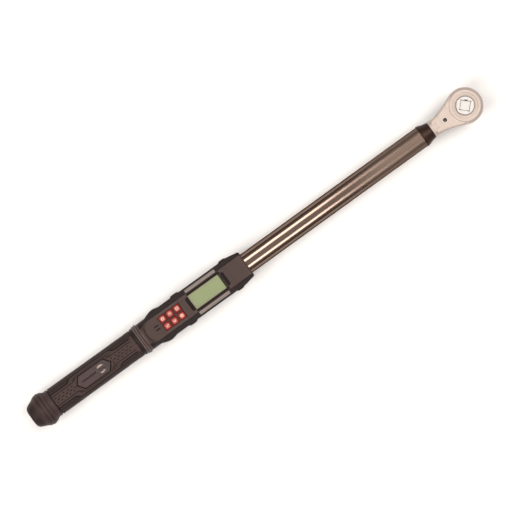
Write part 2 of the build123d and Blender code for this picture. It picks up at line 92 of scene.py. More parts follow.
def startMaterial(name, sockets):
    material = bpy.data.materials.new(name)
    material.use_nodes = True
    tree = material.node_tree
    shader = tree.nodes["Principled BSDF"]
    setSockets(shader, sockets)
    place = addNode(tree, "ShaderNodeTexCoord")
    millimetres = addNode(tree, "ShaderNodeVectorMath", {1: (1000, 1000, 1000)}, {0: place.outputs["Object"]},
                          operation="MULTIPLY")
    return material, tree, shader, millimetres.outputs["Vector"]


# how far a rounded normal must lean from the true one before an edge counts (cosines)
edgeLightAndWearLean = {"starts": 0.995, "full": 0.86, "samples": 4}


def edgeMask(tree, radius):
    # 0 on open faces, 1 on outside and inside corners, which get the edge tone
    # a paler edge tone is painted highlight, partly wear; a darker one is painted shade
    rounded = addNode(tree, "ShaderNodeBevel", {"Radius": radius * mm}, samples=edgeLightAndWearLean["samples"])
    shape = addNode(tree, "ShaderNodeNewGeometry")
    lean = addNode(tree, "ShaderNodeVectorMath", None,
                   {0: rounded.outputs["Normal"], 1: shape.outputs["Normal"]}, operation="DOT_PRODUCT")
    mask = addNode(tree, "ShaderNodeMapRange", {"From Min": edgeLightAndWearLean["starts"], "From Max": edgeLightAndWearLean["full"]},
                   {"Value": lean.outputs["Value"]})
    return mask.outputs["Result"]


def finishSurface(tree, shader, look, colour, layers, texture, span=(0.3, 0.7)):
    # lays each colour over the last where its mask is 1; roughness and fine relief follow the texture
    for code, mask in layers:
        mixed = addNode(tree, "ShaderNodeMix", {7: code}, {0: mask, 6: colour}, data_type="RGBA")
        colour = mixed.outputs[2]
    tree.links.new(colour, shader.inputs["Base Color"])
    (start, end), (low, high) = span, look["rough"]
    rough = addNode(tree, "ShaderNodeMapRange",
                    {"From Min": start, "From Max": end, "To Min": low, "To Max": high}, {"Value": texture})
    tree.links.new(rough.outputs["Result"], shader.inputs["Roughness"])
    if look.get("reliefMm"):
        relief = addNode(tree, "ShaderNodeBump", {"Distance": look["reliefMm"] * mm}, {"Height": texture})
        tree.links.new(relief.outputs["Normal"], shader.inputs["Normal"])


def aboveLevel(height):
    # mask: 1 above the given height
    def mask(tree, at):
        spot = addNode(tree, "ShaderNodeSeparateXYZ", None, {"Vector": at})
        level = addNode(tree, "ShaderNodeMapRange", {"From Min": height - 0.5, "From Max": height},
                        {"Value": spot.outputs["Z"]})
        return level.outputs["Result"]
    return mask


def endPads(window, height):
    # mask: 1 above the given height, beyond the two ends of the window
    def mask(tree, at):
        low, high = (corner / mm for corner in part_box(window))
        spot = addNode(tree, "ShaderNodeSeparateXYZ", None, {"Vector": at})
        fromMiddle = addNode(tree, "ShaderNodeMath", {1: (low.x + high.x) / 2}, {0: spot.outputs["X"]},
                             operation="SUBTRACT")
        beside = addNode(tree, "ShaderNodeMath", None, {0: fromMiddle.outputs["Value"]}, operation="ABSOLUTE")
        half = (high.x - low.x) / 2
        beyond = addNode(tree, "ShaderNodeMapRange", {"From Min": half - 0.2, "From Max": half + 0.2},
                         {"Value": beside.outputs["Value"]})
        both = addNode(tree, "ShaderNodeMath", None,
                       {0: beyond.outputs["Result"], 1: aboveLevel(height)(tree, at)}, operation="MULTIPLY")
        return both.outputs["Value"]
    return mask


def panelTopLight(panel):
    # mask: 1 on upward faces inside the panel's outline, which narrows towards the handle
    # the paler tone laid where this mask is 1 is painted light on the top
    def mask(tree, at):
        spot = addNode(tree, "ShaderNodeSeparateXYZ", None, {"Vector": at})
        half = addNode(tree, "ShaderNodeMapRange", {"From Min": panel["rear"], "From Max": panel["full"],
                       "To Min": panel["rearHalf"], "To Max": panel["half"]}, {"Value": spot.outputs["X"]})
        side = addNode(tree, "ShaderNodeMath", None, {0: spot.outputs["Y"]}, operation="ABSOLUTE")
        room = addNode(tree, "ShaderNodeMath", None, {0: half.outputs["Result"], 1: side.outputs["Value"]},
                       operation="SUBTRACT")
        inside = addNode(tree, "ShaderNodeMapRange", {"From Min": -0.2, "From Max": 0.2},
                         {"Value": room.outputs["Value"]})
        shape = addNode(tree, "ShaderNodeNewGeometry")
        facing = addNode(tree, "ShaderNodeSeparateXYZ", None, {"Vector": shape.outputs["Normal"]})
        upward = addNode(tree, "ShaderNodeMapRange", {"From Min": 0.35, "From Max": 0.6},
                         {"Value": facing.outputs["Z"]})
        both = addNode(tree, "ShaderNodeMath", None, {0: inside.outputs["Result"], 1: upward.outputs["Result"]},
                       operation="MULTIPLY")
        return both.outputs["Value"]
    return mask


plastic = {"IOR": 1.5, "Specular IOR Level": 0.1}  # rubbers too
metal = {"Metallic": 1.0}


def mouldedSurface(name, look):
    # plastics and rubbers: mottled colour, grained relief, and if asked for, edge tones, a top paler by painted
    # light and grooves darker by painted shade
    material, tree, shader, at = startMaterial(name, look.get("shader", plastic))
    cloud = addNode(tree, "ShaderNodeTexNoise", {"Scale": 1 / look["cloudMm"], "Detail": 3.0}, {"Vector": at})
    grain = addNode(tree, "ShaderNodeTexNoise", {"Scale": 1 / look["grainMm"], "Detail": 2.0}, {"Vector": at})
    colour = addNode(tree, "ShaderNodeMix", {6: look["dark"], 7: look["light"]}, {0: cloud.outputs["Fac"]},
                     data_type="RGBA")
    layers = []
    # edge tone: painted highlight where paler, partly wear; painted shade where darker
    if "worn" in look:
        patchy = addNode(tree, "ShaderNodeMath", None,
                         {0: edgeMask(tree, look["wearMm"]), 1: cloud.outputs["Fac"]}, operation="MULTIPLY")
        layers.append((look["worn"], patchy.outputs["Value"]))
    if "top" in look:
        # the display side is smoother than the coarse-grained sides, and paler on top by painted light
        layers.append((look["top"], look["topMask"](tree, at)))
    # groove colour: painted shade in sunk places and on the grip's side panels; on the cap's closed end a
    # darker moulding
    if "groove" in look:
        sunk = addNode(tree, "ShaderNodeAttribute", attribute_name="groove")
        layers.append((look["groove"], sunk.outputs["Fac"]))
    finishSurface(tree, shader, look, colour.outputs[2], layers, grain.outputs["Fac"])
    return material


def machinedSurface(name, look):
    # metals: long or circular tool marks, a little tarnish in the colour, edges brighter by painted highlight,
    # partly wear
    material, tree, shader, at = startMaterial(name, look.get("shader", metal))
    detail = {"Scale": 1 / look["markMm"], "Detail": 2.0}
    if look["lay"] == "turned":
        flat = addNode(tree, "ShaderNodeVectorMath", {1: (1, 1, 0.001)}, {0: at}, operation="MULTIPLY")
        away = addNode(tree, "ShaderNodeVectorMath", None, {0: flat.outputs["Vector"]}, operation="LENGTH")
        marks = addNode(tree, "ShaderNodeTexNoise", detail, {"W": away.outputs["Value"]}, noise_dimensions="1D")
    else:
        squeeze = {"long": (0.02, 1, 1), "even": (1, 1, 1)}[look["lay"]]
        along = addNode(tree, "ShaderNodeVectorMath", {1: squeeze}, {0: at}, operation="MULTIPLY")
        marks = addNode(tree, "ShaderNodeTexNoise", detail, {"Vector": along.outputs["Vector"]})
    cloud = addNode(tree, "ShaderNodeTexNoise", {"Scale": 1 / look["cloudMm"], "Detail": 4.0}, {"Vector": at})
    mottle = addNode(tree, "ShaderNodeMix", {0: look.get("markShade", 0.2)},
                     {2: cloud.outputs["Fac"], 3: marks.outputs["Fac"]})
    colour = addNode(tree, "ShaderNodeMix", {6: look["dark"], 7: look["light"]}, {0: mottle.outputs[0]},
                     data_type="RGBA")
    layers = [(look["worn"], edgeMask(tree, look["wearMm"]))] if "worn" in look else []
    finishSurface(tree, shader, look, colour.outputs[2], layers, marks.outputs["Fac"])
    return material


# Patterns, all in mm: cloud is slow mottling, grain and mark the fine texture, relief its height, and the edge
# width how far an edge's tone reaches, which is painted highlight, painted shade and partly wear. Fine textures
# of 0.05 to 0.2 mm are drawn at about twice that so that they show.
machined = {
    # satin chrome over a forging: milky sheen with turned rings about the drive, five times coarser than real
    "head_steel": ("satinChromedForging", {
        "dark": "#978B83", "light": "#B6AAA2", "worn": "#D5CBC4", "wearMm": 0.7, "rough": (0.42, 0.52),
        "lay": "turned", "markMm": 1.1, "cloudMm": 6.0, "reliefMm": 0.012, "markShade": 0.7,
        "shader": {"Metallic": 0.5, "Specular IOR Level": 0.3}}),
    # hardened and polished steel: brighter and cooler than the head round it
    "polished_steel": ("polishedToolSteel", {
        "dark": "#B8B7B4", "light": "#C3C2BE", "worn": "#DFDDD8", "wearMm": 0.4, "rough": (0.33, 0.42),
        "lay": "turned", "markMm": 0.35, "cloudMm": 4.0, "reliefMm": 0.006}),
    # black oxide, oiled: brown-black with a soft gleam
    "black_steel": ("blackOxideSteel", {
        "dark": "#2A2523", "light": "#37302D", "rough": (0.3, 0.45), "lay": "even", "markMm": 0.3,
        "cloudMm": 2.0, "reliefMm": 0.01}),
    # zinc-plated spring ring: dull pale metal
    "zinc": ("zincPlatedRing", {
        "dark": "#A8988D", "light": "#B7A79C", "rough": (0.35, 0.45), "lay": "turned", "markMm": 0.4,
        "cloudMm": 3.0, "reliefMm": 0.006}),
    # ground alloy steel: grey with grinding marks along the beam
    "alloy_steel": ("groundAlloySteel", {
        "dark": "#9B9894", "light": "#ABA8A3", "rough": (0.3, 0.42), "lay": "long", "markMm": 0.3,
        "cloudMm": 5.0, "reliefMm": 0.01}),
    # drawn music wire: bright grey
    "spring_steel": ("drawnSpringWire", {
        "dark": "#A9A8A6", "light": "#BDBCBA", "rough": (0.22, 0.34), "lay": "even", "markMm": 0.2,
        "cloudMm": 1.5, "reliefMm": 0.004}),
    # nickel-plated brass: pale gold, dulled in patches
    "contact_brass": ("platedBrassContact", {
        "dark": "#B6975A", "light": "#CBB076", "rough": (0.22, 0.36), "lay": "even", "markMm": 0.3,
        "cloudMm": 1.5, "reliefMm": 0.004}),
    # etched constantan foil: dull copper with a fine grid
    "gauge_foil": ("etchedGaugeFoil", {
        "dark": "#9C6C38", "light": "#B8854C", "rough": (0.3, 0.45), "lay": "long", "markMm": 0.25,
        "cloudMm": 1.0, "reliefMm": 0.006}),
}

# outline of the smooth display panel, whose upward faces are paler by painted light: mm along the tool, and
# half widths
panelPlan = {"rear": -495.5, "rearHalf": 10.8, "full": -483.0, "half": 14.1}
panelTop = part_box("housing_upper")[1].z / mm - 0.05

moulded = {
    # black anodised nose piece: near black, satin, edges darker by painted shade
    "collar_black": ("blackAnodisedCollar", {
        "dark": "#241612", "light": "#301F19", "worn": "#100A08", "wearMm": 0.8, "rough": (0.36, 0.46),
        "cloudMm": 5.0, "grainMm": 0.25, "reliefMm": 0.01,
        "shader": {"Metallic": 0.3, "Specular IOR Level": 0.15}}),
    # glass-filled ABS with a spark-eroded grain: black-brown sides round a smoother display panel, paler on top
    # by painted light; edges darker by painted shade
    "housing_plastic": ("grainedAbsHousing", {
        "dark": "#150C0B", "light": "#1B1110", "worn": "#140C0B", "top": "#3A2F2C",
        "topMask": panelTopLight(panelPlan), "wearMm": 0.6, "rough": (0.42, 0.56), "cloudMm": 9.0,
        "grainMm": 0.4, "reliefMm": 0.03}),
    # finer texture round the keys, with dark seams and edges by painted shade, and tops at the panel's level
    # paler by painted light
    "bezel_plastic": ("satinAbsBezel", {
        "dark": "#130D0C", "light": "#191211", "worn": "#080504", "wearMm": 1.0, "top": "#3D3330",
        "topMask": aboveLevel(panelTop), "rough": (0.34, 0.46), "cloudMm": 6.0, "grainMm": 0.25,
        "reliefMm": 0.015}),
    # nitrile seals: dead black, matt
    "seal_rubber": ("nitrileSeal", {
        "dark": "#131110", "light": "#1B1817", "rough": (0.55, 0.7), "cloudMm": 3.0, "grainMm": 0.2,
        "reliefMm": 0.02}),
    # greased felt in the drive's gap: soft warm grey
    "felt": ("greasedFeltSeal", {
        "dark": "#857870", "light": "#978A81", "rough": (0.5, 0.65), "cloudMm": 1.2, "grainMm": 0.25,
        "reliefMm": 0.05}),
    # soft overmoulded elastomer: warm dark grey; edges paler by painted highlight and wear, grooves and side
    # panels darker by painted shade
    "grip_rubber": ("overmouldedElastomer", {
        "dark": "#322725", "light": "#3A2E2C", "worn": "#645450", "wearMm": 0.5, "groove": "#0C0706",
        "rough": (0.5, 0.64), "cloudMm": 8.0, "grainMm": 0.35, "reliefMm": 0.03}),
    # badge plate: a little lighter and smoother than the grip round it; edges paler by painted highlight and
    # wear, the sunk bar darker by painted shade
    "badge_plastic": ("satinBadgePlate", {
        "dark": "#372D2D", "light": "#3F3434", "worn": "#665757", "wearMm": 0.4, "groove": "#120C0B",
        "rough": (0.38, 0.5), "cloudMm": 5.0, "grainMm": 0.3, "reliefMm": 0.012}),
    # glass-filled nylon collar and cap: warm grey with a slight sheen; edges paler by painted highlight and
    # wear, grooves darker by painted shade
    "cap_plastic": ("glassFilledNylon", {
        "dark": "#2F2423", "light": "#372B2A", "worn": "#5C4C4A", "wearMm": 0.5, "groove": "#0B0706",
        "rough": (0.4, 0.52), "cloudMm": 8.0, "grainMm": 0.4, "reliefMm": 0.025}),
    # the same nylon, paler on the collar's ridges by painted highlight; its grooves and rear part darker by
    # painted shade
    "collar_nylon": ("nylonCollarPaintedRidgeLight", {
        "dark": "#453937", "light": "#4E413F", "worn": "#A39389", "wearMm": 0.6, "groove": "#120C0B",
        "rough": (0.38, 0.5), "cloudMm": 8.0, "grainMm": 0.4, "reliefMm": 0.02}),
    # smooth, waxy black
    "inner_plastic": ("blackAcetalCore", {
        "dark": "#161616", "light": "#1E1E1E", "rough": (0.35, 0.5), "cloudMm": 5.0, "grainMm": 0.3,
        "reliefMm": 0.01}),
    # glossy blue film
    "cell_wrap": ("shrinkWrappedCell", {
        "dark": "#12305E", "light": "#1B3D70", "rough": (0.2, 0.32), "cloudMm": 6.0, "grainMm": 0.6,
        "reliefMm": 0.01}),
    # lacquered board
    "board_green": ("greenSolderMask", {
        "dark": "#10381F", "light": "#174A29", "rough": (0.25, 0.4), "cloudMm": 2.0, "grainMm": 0.3,
        "reliefMm": 0.01}),
    # fine matt epoxy
    "chip_black": ("epoxyPackage", {
        "dark": "#121212", "light": "#1A1A1A", "rough": (0.4, 0.55), "cloudMm": 1.5, "grainMm": 0.15,
        "reliefMm": 0.008}),
    # soft red sleeving
    "lead_copper": ("redLeadInsulation", {
        "dark": "#6E1512", "light": "#821D18", "rough": (0.35, 0.5), "cloudMm": 3.0, "grainMm": 0.3,
        "reliefMm": 0.006}),
    # frosted acrylic: milky grey bars that light up, their edges paler by painted highlight and wear
    "light_guide": ("frostedAcrylicGuide", {
        "dark": "#5E544E", "light": "#695F58", "worn": "#B5ABA2", "wearMm": 0.3, "rough": (0.3, 0.42),
        "cloudMm": 5.0, "grainMm": 0.3, "reliefMm": 0.008,
        "shader": {"IOR": 1.49, "Subsurface Weight": 0.1, "Subsurface Scale": 0.001}}),
}

# the bezel's plastic round the window, where only its two end pads reach the panel's level; their tops are
# paler by painted light, and the edges by painted highlight
moulded["window_bezel"] = ("satinAbsWindow", {
    **moulded["bezel_plastic"][1], "worn": "#2A211F", "wearMm": 0.4, "topMask": endPads("lcd_lens", panelTop)})

looks = {slot: machinedSurface(name, look) for slot, (name, look) in machined.items()}
looks.update({slot: mouldedSurface(name, look) for slot, (name, look) in moulded.items()})

keyLook = {"skirt": "#5E0B0B", "rim": "#7E2420", "face": "#936A60", "faceDrop": 0.05, "grainMm": 0.3,
           "topBlend": 0.2, "rough": (0.32, 0.5), "reliefMm": 0.015,
           "paintedHighlight": (0.0, 4.3),  # mm from the key's middle where the painted highlight, a paler patch, starts and ends
           "symbol": "#B9A396"}


def siliconeKey(key):
    # cast silicone with a printed, clear-coated top: deep red skirts and rim round a painted highlight, a paler
    # middle
    material, tree, shader, at = startMaterial("castSilicone_" + key, plastic)
    low, high = (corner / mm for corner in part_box(key))
    keyTop = high.z - keyLook["faceDrop"]
    middle = addNode(tree, "ShaderNodeVectorMath", {1: ((low.x + high.x) / 2, (low.y + high.y) / 2, 0)},
                     {0: at}, operation="SUBTRACT")
    flat = addNode(tree, "ShaderNodeVectorMath", {1: (1, 1, 0)}, {0: middle.outputs["Vector"]},
                   operation="MULTIPLY")
    away = addNode(tree, "ShaderNodeVectorMath", None, {0: flat.outputs["Vector"]}, operation="LENGTH")
    start, end = keyLook["paintedHighlight"]
    paintedHighlight = addNode(tree, "ShaderNodeMapRange", {"From Min": end, "From Max": start},
                   {"Value": away.outputs["Value"]})
    face = addNode(tree, "ShaderNodeMix", {6: keyLook["rim"], 7: keyLook["face"]},
                   {0: paintedHighlight.outputs["Result"]}, data_type="RGBA")
    height = addNode(tree, "ShaderNodeSeparateXYZ", None, {"Vector": at})
    onTop = addNode(tree, "ShaderNodeMapRange", {"From Min": keyTop - keyLook["topBlend"], "From Max": keyTop},
                    {"Value": height.outputs["Z"]})
    grain = addNode(tree, "ShaderNodeTexNoise", {"Scale": 1 / keyLook["grainMm"], "Detail": 2.0},
                    {"Vector": at})
    colour = addNode(tree, "ShaderNodeMix", {6: keyLook["skirt"]},
                     {0: onTop.outputs["Result"], 7: face.outputs[2]}, data_type="RGBA")
    finishSurface(tree, shader, keyLook, colour.outputs[2], [], grain.outputs["Fac"], (0, 1))
    return material


windowLook = {"tint": "#20211E", "alpha": 0.1, "smearsPerMm": 1.2, "rough": (0.05, 0.18)}


def acrylicWindow():
    # clear cast acrylic: nearly invisible, a soft sheen and a few smears
    material, tree, shader, at = startMaterial("clearAcrylicWindow", {
        "Base Color": windowLook["tint"], "IOR": 1.49, "Alpha": windowLook["alpha"]})
    smears = addNode(tree, "ShaderNodeTexNoise", {"Scale": windowLook["smearsPerMm"], "Detail": 3.0},
                     {"Vector": at})
    low, high = windowLook["rough"]
    rough = addNode(tree, "ShaderNodeMapRange", {"To Min": low, "To Max": high},
                    {"Value": smears.outputs["Fac"]})
    tree.links.new(rough.outputs["Result"], shader.inputs["Roughness"])
    return material


screenLook = {"viewing": "#828E68", "mottle": "#8A9470", "edge": "#8F8C74", "viewHalfMm": 8.6,
              "rearEdgeMm": 3.0, "cloudsPerMm": 0.14, "rough": (0.22, 0.3)}


def reflectiveScreen():
    # unlit reflective glass: flat grey-green with the faintest mottling, yellower outside the viewing area
    material, tree, shader, at = startMaterial("reflectiveLcdGlass", plastic)
    spot = addNode(tree, "ShaderNodeSeparateXYZ", None, {"Vector": at})
    cloud = addNode(tree, "ShaderNodeTexNoise", {"Scale": screenLook["cloudsPerMm"], "Detail": 3.0},
                    {"Vector": at})
    view = addNode(tree, "ShaderNodeMix",
                   {6: screenLook["viewing"], 7: screenLook["mottle"]},
                   {0: cloud.outputs["Fac"]}, data_type="RGBA")
    side = addNode(tree, "ShaderNodeMath", None, {0: spot.outputs["Y"]}, operation="ABSOLUTE")
    half = screenLook["viewHalfMm"]
    across = addNode(tree, "ShaderNodeMapRange", {"From Min": half - 0.3, "From Max": half + 0.1},
                     {"Value": side.outputs["Value"]})
    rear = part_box("lcd_panel")[0].x / mm + screenLook["rearEdgeMm"]
    behind = addNode(tree, "ShaderNodeMapRange", {"From Min": rear + 0.4, "From Max": rear - 0.4},
                     {"Value": spot.outputs["X"]})
    border = addNode(tree, "ShaderNodeMath", None, {0: across.outputs["Result"], 1: behind.outputs["Result"]},
                     operation="MAXIMUM")
    finishSurface(tree, shader, screenLook, view.outputs[2], [(screenLook["edge"], border.outputs["Value"])],
                  cloud.outputs["Fac"], (0, 1))
    return material


maskLook = {"pale": "#8E8B75", "dark": "#302A22", "border": "#14100D", "grainMm": 0.3,
            "darkEndMm": 46.9, "paleHalfMm": 10.2, "rough": (0.35, 0.55)}


def printedScreenMask():
    # screen-printed frame on the glass: cream round the screen, dark outside it and at the connector end
    material, tree, shader, at = startMaterial("printedScreenMask", plastic)
    spot = addNode(tree, "ShaderNodeSeparateXYZ", None, {"Vector": at})
    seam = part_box("lcd_frame")[0].x / mm + maskLook["darkEndMm"]
    end = addNode(tree, "ShaderNodeMapRange", {"From Min": seam, "From Max": seam + 0.2},
                  {"Value": spot.outputs["X"]})
    inner = addNode(tree, "ShaderNodeMix", {6: maskLook["pale"], 7: maskLook["dark"]},
                    {0: end.outputs["Result"]}, data_type="RGBA")
    side = addNode(tree, "ShaderNodeMath", None, {0: spot.outputs["Y"]}, operation="ABSOLUTE")
    half = maskLook["paleHalfMm"]
    edge = addNode(tree, "ShaderNodeMapRange", {"From Min": half, "From Max": half + 0.1},
                   {"Value": side.outputs["Value"]})
    grain = addNode(tree, "ShaderNodeTexNoise", {"Scale": 1 / maskLook["grainMm"]}, {"Vector": at})
    finishSurface(tree, shader, maskLook, inner.outputs[2], [(maskLook["border"], edge.outputs["Result"])],
                  grain.outputs["Fac"], (0, 1))
    return material


tubeLook = {
    "dark": "#73635A", "light": "#806F65", "rough": 0.15, "drawMm": 0.6,
    "grazing": "#3F2B23",              # what the chrome takes on where it curves away
    "satin": "#78685E", "satinRough": 0.34,
    "satinRun": (-210.0, -110.0),      # mm along the tube where it turns satin
    "streaks": (-0.02, 0.03),          # roughness added along the draw marks
    # a row of etched bars: from, to, pitch, bar width, y and half height in mm; colour and strength
    "bars": (-124.0, -76.0, 3.2, 1.1, 4.2, 2.6), "barColour": "#5E4F47", "barStrength": 0.6,
}


def darkChromedTube():
    # dark chrome over a drawn steel tube: sharp streaks of light with faint draw marks, satin near the nose,
    # where a row of plain bars is etched
    material, tree, shader, at = startMaterial("darkChromedTube", {
        "Metallic": 1.0, "Specular Tint": tubeLook["grazing"]})
    spot = addNode(tree, "ShaderNodeSeparateXYZ", None, {"Vector": at})
    along = addNode(tree, "ShaderNodeVectorMath", {1: (0.01, 1, 1)}, {0: at}, operation="MULTIPLY")
    draw = addNode(tree, "ShaderNodeTexNoise", {"Scale": 1 / tubeLook["drawMm"], "Detail": 3.0},
                   {"Vector": along.outputs["Vector"]})
    start, end = tubeLook["satinRun"]
    satin = addNode(tree, "ShaderNodeMapRange", {"From Min": start, "From Max": end},
                    {"Value": spot.outputs["X"]}, interpolation_type="SMOOTHSTEP")
    colour = addNode(tree, "ShaderNodeMix", {6: tubeLook["dark"], 7: tubeLook["light"]},
                     {0: draw.outputs["Fac"]}, data_type="RGBA")
    paler = addNode(tree, "ShaderNodeMix", {7: tubeLook["satin"]},
                    {0: satin.outputs["Result"], 6: colour.outputs[2]}, data_type="RGBA")
    first, last, pitch, width, row, tall = tubeLook["bars"]
    phase = addNode(tree, "ShaderNodeMath", {1: pitch}, {0: spot.outputs["X"]}, operation="FLOORED_MODULO")
    masks = [("LESS_THAN", {1: width}, phase.outputs["Value"]), ("GREATER_THAN", {1: first}, spot.outputs["X"]),
             ("LESS_THAN", {1: last}, spot.outputs["X"]), ("COMPARE", {1: row, 2: tall}, spot.outputs["Y"]),
             ("GREATER_THAN", {1: axisZ / mm}, spot.outputs["Z"])]
    faint = addNode(tree, "ShaderNodeValue")
    faint.outputs["Value"].default_value = tubeLook["barStrength"]
    for operation, values, source in masks:
        mask = addNode(tree, "ShaderNodeMath", values, {0: source}, operation=operation)
        faint = addNode(tree, "ShaderNodeMath", None, {0: faint.outputs["Value"], 1: mask.outputs["Value"]},
                        operation="MULTIPLY")
    marked = addNode(tree, "ShaderNodeMix", {7: tubeLook["barColour"]},
                     {0: faint.outputs["Value"], 6: paler.outputs[2]}, data_type="RGBA")
    tree.links.new(marked.outputs[2], shader.inputs["Base Color"])
    rough = addNode(tree, "ShaderNodeMapRange", {"To Min": tubeLook["rough"], "To Max": tubeLook["satinRough"]},
                    {"Value": satin.outputs["Result"]})
    low, high = tubeLook["streaks"]
    streaky = addNode(tree, "ShaderNodeMapRange",
                      {"From Min": 0.3, "From Max": 0.7, "To Min": low, "To Max": high},
                      {"Value": draw.outputs["Fac"]})
    total = addNode(tree, "ShaderNodeMath", None, {0: rough.outputs["Result"], 1: streaky.outputs["Result"]},
                    operation="ADD")
    tree.links.new(total.outputs["Value"], shader.inputs["Roughness"])
    return material


looks["plated_tube"] = darkChromedTube()
looks["clear_lens"] = acrylicWindow()
looks["lcd_border"] = printedScreenMask()
looks["lcd_green"] = reflectiveScreen()

otherLooks = {"display_bezel": "window_bezel", "wheel_seal": "felt", "retaining_ring": "zinc"}
for part in frame["record"]["subparts"]:
    node = nodes[part["node"]]
    node.data.materials.clear()
    if part["material_slot"] == "key_rubber":
        node.data.materials.append(siliconeKey(part["node"]))
    else:
        node.data.materials.append(looks[otherLooks.get(part["node"], part["material_slot"])])


# softened edges on the carried-over CAD shapes, in millimetres
edgeRounding = {"head_body": 0.7, "cover_plate": 0.25, "ratchet_wheel": 0.2, "drive_square": 0.25,
                "housing_upper": 0.35, "housing_lower": 0.8, "front_cap": 0.8, "display_bezel": 0.35,
                "keypad_bezel": 0.3, "nose_collar": 0.3, "light_bar_left": 0.3, "light_bar_right": 0.3,
                "stop_pin": 0.2}
edgeRounding.update({part["node"]: 0.25 for part in frame["record"]["subparts"]
                     if part["material_slot"] == "key_rubber"})
roundingPlan = {"weldMm": 0.002, "flatDegrees": 0.5, "edgeDegrees": 28, "segments": 3}


def roundEdges(node, width):
    weld = node.modifiers.new("weld", "WELD")
    weld.merge_threshold = roundingPlan["weldMm"] * mm
    flatten = node.modifiers.new("flatFaces", "DECIMATE")
    flatten.decimate_type = "DISSOLVE"
    flatten.angle_limit = math.radians(roundingPlan["flatDegrees"])
    rounding = node.modifiers.new("edges", "BEVEL")
    rounding.width = width * mm
    rounding.segments = roundingPlan["segments"]
    rounding.limit_method = "ANGLE"
    rounding.angle_limit = math.radians(roundingPlan["edgeDegrees"])
    rounding.harden_normals = False
    normals = node.modifiers.new("shading", "WEIGHTED_NORMAL")
    normals.keep_sharp = False


for name, width in edgeRounding.items():
    roundEdges(nodes[name], width)
print("edges rounded on", len(edgeRounding), "nodes")


def placePiece(name, data, look, body, replaced=None):
    data.materials.append(looks[look])
    piece = bpy.data.objects.new(name, data)
    bpy.context.scene.collection.objects.link(piece)
    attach(piece, body)
    if replaced:
        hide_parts(replaced)
    return piece


def closedMesh(name, points, faces, shade=None, weldMm=0.0):
    # shade, from 0 to 1 at each point, says how dark the surface is there: painted shade where it is sunk and
    # on the grip's side panels, a darker moulding on the cap's closed end
    mesh = bpy.data.meshes.new(name)
    mesh.from_pydata(points, [], faces)
    if shade is not None:
        mesh.attributes.new("groove", "FLOAT", "POINT").data.foreach_set("value", shade)
    shape = bmesh.new()
    shape.from_mesh(mesh)
    if weldMm:
        bmesh.ops.remove_doubles(shape, verts=shape.verts, dist=weldMm * mm)
    bmesh.ops.recalc_face_normals(shape, faces=shape.faces)
    shape.to_mesh(mesh)
    shape.free()
    mesh.shade_smooth()
    return mesh


def ringSkin(name, xs, radii, groove):
    # a closed skin of rings about the tool's axis: xs and radii in metres, radii one row per ring
    rows, around = radii.shape
    angles = np.linspace(0, 2 * math.pi, around, endpoint=False)
    along = np.repeat(xs[:, None], around, 1)
    points = np.stack([along, radii * np.sin(angles), axisZ + radii * np.cos(angles)], 2)
    faces = []
    for row in range(rows):
        nextRow = (row + 1) % rows
        a, b = row * around, nextRow * around
        faces += [(a + i, a + (i + 1) % around, b + (i + 1) % around, b + i) for i in range(around)]
    return closedMesh(name, points.reshape(-1, 3).tolist(), faces, groove.ravel(), weldMm=0.0005)


def smoothLine(points, step):
    # evenly sampled curve through the given (x, radius) corners, without overshoot at the ends
    pts = np.array(points, float)
    run = np.concatenate([[0], np.cumsum(np.hypot(*np.diff(pts, axis=0).T))])
    dense = np.linspace(0, run[-1], max(8, int(run[-1] / step)))
    slopes = np.gradient(pts, run, axis=0)
    seg = np.clip(np.searchsorted(run, dense, side="right") - 1, 0, len(run) - 2)
    h = (run[seg + 1] - run[seg])[:, None]
    t = ((dense - run[seg])[:, None]) / h
    return ((2 * t**3 - 3 * t**2 + 1) * pts[seg] + (t**3 - 2 * t**2 + t) * h * slopes[seg]
            + (3 * t**2 - 2 * t**3) * pts[seg + 1] + (t**3 - t**2) * h * slopes[seg + 1])


fullShadeDepth = 0.5  # mm: a turned groove this deep is shaded fully


def withRings(line, rings):
    # raises ridges and sinks grooves on a turned outline; also says how sunk each point is
    groove = np.zeros(len(line))
    for place, height, half in rings:
        bump = np.exp(-((line[:, 0] - place) / half) ** 2)
        line[:, 1] += height * bump
        if height < 0:
            groove = np.maximum(groove, bump * min(1.0, -height / fullShadeDepth))
    return line, groove


def distanceTo(path, along, around):
    # shortest distance from each (along, around) point to a run of straight lines
    best = np.full(along.shape, 1e9)
    for (x0, y0), (x1, y1) in zip(path, path[1:]):
        dx, dy = x1 - x0, y1 - y0
        t = np.clip(((along - x0) * dx + (around - y0) * dy) / (dx * dx + dy * dy), 0, 1)
        best = np.minimum(best, np.hypot(along - x0 - t * dx, around - y0 - t * dy))
    return best


def fade(value, start, end):
    t = np.clip((value - start) / (end - start), 0, 1)
    return t * t * (3 - 2 * t)


